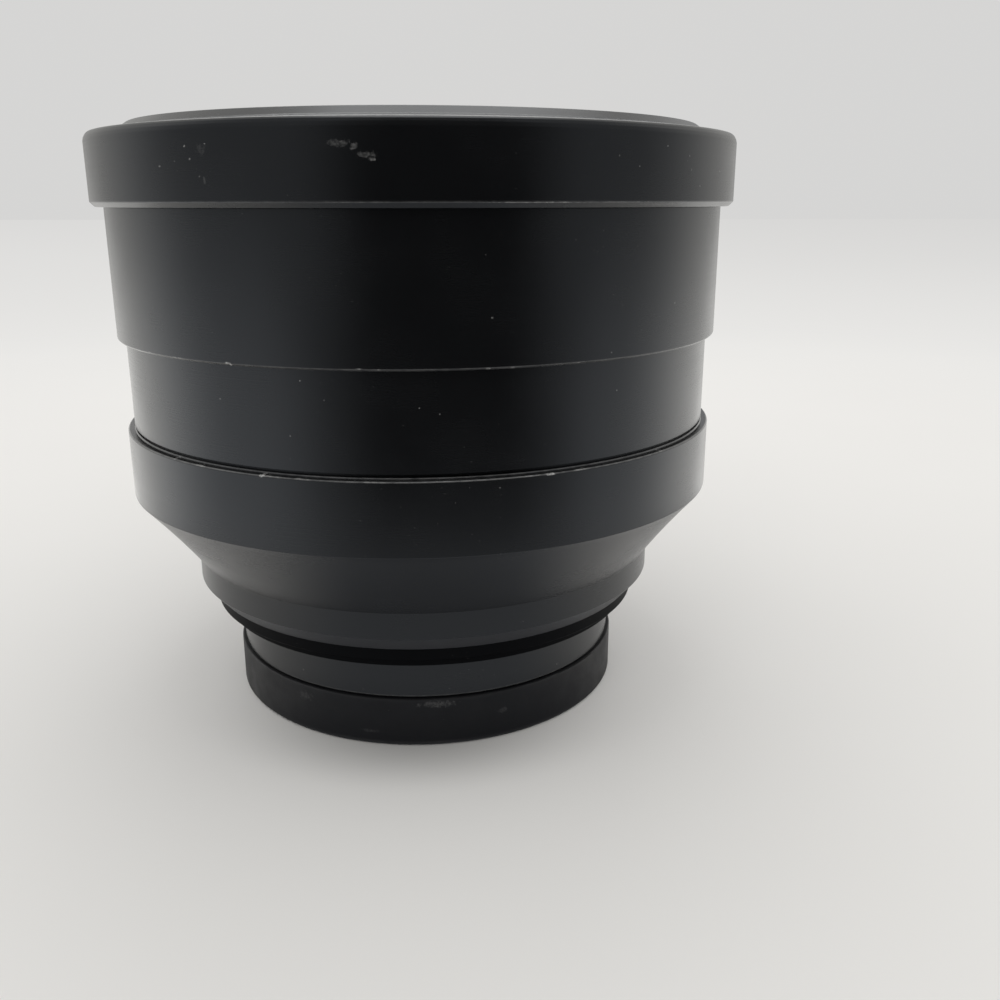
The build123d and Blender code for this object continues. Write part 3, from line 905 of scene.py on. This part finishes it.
def tell_rays(tree, kinds):
    """One where a ray is of one of these kinds."""
    path = tree.nodes.new("ShaderNodeLightPath")
    total = None
    for kind in kinds:
        if total is None:
            total = path.outputs[kind]
            continue
        joined = tree.nodes.new("ShaderNodeMath")
        joined.operation = "MAXIMUM"
        tree.links.new(total, joined.inputs[0])
        tree.links.new(path.outputs[kind], joined.inputs[1])
        total = joined.outputs[0]
    return total


def emitting(finish, colour):
    glow = finish.tree.nodes.new("ShaderNodeEmission")
    finish.feed(glow.inputs["Color"], (*colour, 1.0) if isinstance(colour, tuple) else colour)
    return glow.outputs[0]


def shared(finish, share, under, over):
    """Lay one shader over another by a share."""
    mixed = finish.tree.nodes.new("ShaderNodeMixShader")
    for socket, value in zip(mixed.inputs, (share, under, over)):
        finish.feed(socket, value)
    return mixed.outputs[0]


def put_on(finish, shader):
    out = finish.tree.nodes.new("ShaderNodeOutputMaterial")
    finish.tree.links.new(shader, out.inputs["Surface"])
    return finish.material


def pale_floor():
    """A pale table top that fades with distance into the background's colour, with a painted shadow
    round the cap's foot and a painted shade that only the gloss of the metal meets.
    """
    finish = Finish("pale_table")
    seen = tell_rays(finish.tree, ("Is Camera Ray", "Is Glossy Ray", "Is Transmission Ray"))
    far = finish.rise(finish.radius, 0.2, 0.5)
    camera_away = 0.16
    full_nearness = 1.75
    nearness = finish.calc("DIVIDE", 1.0, finish.calc("ADD", finish.radius, camera_away))
    near = finish.calc("MINIMUM", finish.calc("DIVIDE", nearness, full_nearness), 1.0)
    tint = finish.blend(near, (0.678, 0.673, 0.665), (0.818, 0.81, 0.792))
    aside = finish.calc("MULTIPLY", finish.calc("SINE", finish.bearing), -0.04)
    aside = finish.calc("MULTIPLY", aside, finish.rise(finish.radius, 0.5, 1.5))
    glow = finish.vector("SCALE", tint)
    finish.feed(glow.node.inputs["Scale"], finish.calc("ADD", aside, 1.0))
    cloud = finish.noise(14, 2.0)
    top = finish.blend(cloud, (0.825, 0.815, 0.797), (0.845, 0.835, 0.817))
    # painted shadow: the floor's colour is darkened round the cap's foot, most in front, and a little
    # lightened at its sides
    under = finish.vector("SCALE", top)
    turned_away = finish.calc("ABSOLUTE", finish.bearing)
    painted_foot_light = finish.rise(turned_away, 0.0, radians(75), 0.6, 1.12)
    finish.feed(under.node.inputs["Scale"], finish.rise(finish.radius, 0.03, 0.044, painted_foot_light, 1.0))
    plain = finish.tree.nodes.new("ShaderNodeBsdfDiffuse")
    finish.feed(plain.inputs["Color"], under)
    lit = shared(
        finish, finish.calc("MULTIPLY", far, seen), plain.outputs[0], emitting(finish, glow)
    )
    # painted shade: a dim glow on the floor under and in front of the lens, met only in the gloss of
    # the metal
    mirrored = tell_rays(finish.tree, ("Is Glossy Ray",))
    off_middle = finish.calc("ABSOLUTE", finish.calc("SUBTRACT", finish.bearing, radians(8)))
    ahead = finish.rise(off_middle, radians(75), radians(25))
    shade = finish.calc("MULTIPLY", finish.calc("MULTIPLY", mirrored, ahead), 0.95)
    depth = finish.rise(finish.radius, 0.033, 0.05)
    dim = finish.blend(depth, (0.12, 0.125, 0.135), (0.42, 0.435, 0.455))
    return put_on(finish, shared(finish, shade, lit, emitting(finish, dim)))


def add_floor():
    form = bmesh.new()
    bmesh.ops.create_grid(form, x_segments=24, y_segments=24, size=4.0)
    mesh = bpy.data.meshes.new("table_top")
    form.to_mesh(mesh)
    form.free()
    mesh.materials.append(pale_floor())
    floor = bpy.data.objects.new("table_top", mesh)
    scene.collection.objects.link(floor)
    floor.parent = frame["bodies"]["cap"]


def add_painted_reflection_card():
    """A glowing sheet round the front of the lens that paints the reflections in the metal, dark in
    the middle and lighter to the sides: a painted reflection. It only shows in the gloss of the
    metal."""
    finish = Finish("painted_reflection_card")
    high = finish.rise(finish.height, 0.03, 0.088, 1.0, 0.36)
    less_high = finish.rise(finish.height, 0.035, 0.07, 1.0, 0.68)
    left = finish.rise(finish.bearing, radians(-10), radians(-46), 0.0, 0.68)
    right = finish.rise(finish.bearing, radians(32), radians(64), 0.0, 0.58)
    ahead = finish.calc("MULTIPLY", finish.calc("MAXIMUM", left, right), high)
    off_middle = finish.calc("ABSOLUTE", finish.calc("SUBTRACT", finish.bearing, radians(11)))
    low_glow = finish.rise(off_middle, radians(18), radians(40), 0.0, 0.25)
    ahead = finish.calc("MAXIMUM", ahead, low_glow)
    left = finish.rise(finish.bearing, radians(-58), radians(-92), 0.0, 0.56)
    right = finish.rise(finish.bearing, radians(66), radians(104), 0.0, 0.64)
    beside = finish.calc("MAXIMUM", left, right)
    beside = finish.calc("MULTIPLY", beside, less_high)
    foot = finish.rise(finish.height, 0.022, 0.0, 0.028, 0.22)
    reach = finish.calc("ABSOLUTE", finish.bearing)
    bright = finish.calc("ADD", finish.calc("ADD", ahead, beside), foot)
    hue = finish.blend(
        finish.rise(reach, radians(55), radians(110)), (0.965, 1.0, 1.045), (1.01, 1.0, 0.97)
    )
    tint = finish.vector("SCALE", hue)
    finish.feed(tint.node.inputs["Scale"], bright)
    solid = finish.calc(
        "MULTIPLY",
        finish.rise(reach, radians(148), radians(132)),
        finish.rise(finish.height, 0.48, 0.32),
    )
    clear = finish.tree.nodes.new("ShaderNodeBsdfTransparent")
    put_on(finish, shared(finish, solid, clear.outputs[0], emitting(finish, tint)))
    card_away = 0.13
    half_span = radians(150)
    form = bmesh.new()
    low = form.verts.new((0, -card_away, 0.0005))
    high = form.verts.new((0, -card_away, 0.5))
    rim = form.edges.new((low, high))
    start = Matrix.Rotation(-half_span, 3, "Z")
    bmesh.ops.rotate(form, verts=[low, high], cent=(0, 0, 0), matrix=start)
    bmesh.ops.spin(
        form, geom=[low, high, rim], cent=(0, 0, 0), axis=(0, 0, 1), angle=2 * half_span, steps=120
    )
    mesh = bpy.data.meshes.new("painted_reflection_card")
    form.to_mesh(mesh)
    form.free()
    mesh.materials.append(finish.material)
    card = bpy.data.objects.new("painted_reflection_card", mesh)
    scene.collection.objects.link(card)
    lit_only(card, glossy=True)


def add_softbox(name, place, size, power, **rays):
    """A soft lamp that faces the lens and is met by some kinds of ray only."""
    light = bpy.data.lights.new(name, "AREA")
    light.shape = "RECTANGLE"
    light.size, light.size_y = size
    light.energy = power
    light.color = (1.0, 0.995, 0.985)
    lamp = bpy.data.objects.new(name, light)
    scene.collection.objects.link(lamp)
    facing = Vector(place).to_track_quat("Z", "Y").to_matrix().to_4x4()
    lamp.matrix_world = Matrix.Translation(place) @ facing
    lit_only(lamp, **rays)


def add_world():
    world = bpy.data.worlds.new("studio")
    scene.world = world
    world.use_nodes = True
    tree = world.node_tree
    tree.nodes.clear()
    seen = tell_rays(tree, ("Is Camera Ray",))
    mirrored = tell_rays(tree, ("Is Glossy Ray", "Is Transmission Ray"))
    # what stray light meets, then gloss and glass, then the camera
    layers = (
        ((0.858, 0.855, 0.846), None),
        ((0.47, 0.475, 0.48), mirrored),
        ((0.67, 0.667, 0.66), seen),
    )
    colour = None
    for tint, share in layers:
        if share is None:
            colour = tree.nodes.new("ShaderNodeRGB").outputs[0]
            colour.default_value = (*tint, 1.0)
            continue
        mix = tree.nodes.new("ShaderNodeMix")
        mix.data_type = "RGBA"
        tree.links.new(share, mix.inputs[0])
        tree.links.new(colour, mix.inputs[6])
        mix.inputs[7].default_value = (*tint, 1.0)
        colour = mix.outputs[2]
    back = tree.nodes.new("ShaderNodeBackground")
    tree.links.new(colour, back.inputs["Color"])
    out = tree.nodes.new("ShaderNodeOutputWorld")
    tree.links.new(back.outputs[0], out.inputs["Surface"])


def add_camera():
    """The camera that took the photograph, as fitted to the edges of the lens."""
    place = (0.01243, -0.1615, 0.0762)
    tilt = radians(73.423)
    roll = radians(-0.054)
    data = bpy.data.cameras.new("camera")
    data.sensor_width = 36.0
    data.lens = 36.356
    data.clip_start = 0.01
    camera = bpy.data.objects.new("camera", data)
    scene.collection.objects.link(camera)
    camera.matrix_world = (
        Matrix.Translation(place)
        @ Matrix.Rotation(tilt, 4, "X")
        @ Matrix.Rotation(roll, 4, "Z")
    )
    scene.camera = camera


add_floor()
add_painted_reflection_card()
add_softbox("light_ahead", (0, -0.6, 0.6), (0.6, 0.6), 0.96, diffuse=True)
add_softbox("light_behind", (0, 0.6, 0.6), (0.6, 0.6), 0.92, diffuse=True)
add_softbox("mirrored_ceiling", (-0.04, 0.03, 0.75), (1.5, 1.5), 10.0, glossy=True, transmission=True)
add_world()
add_camera()
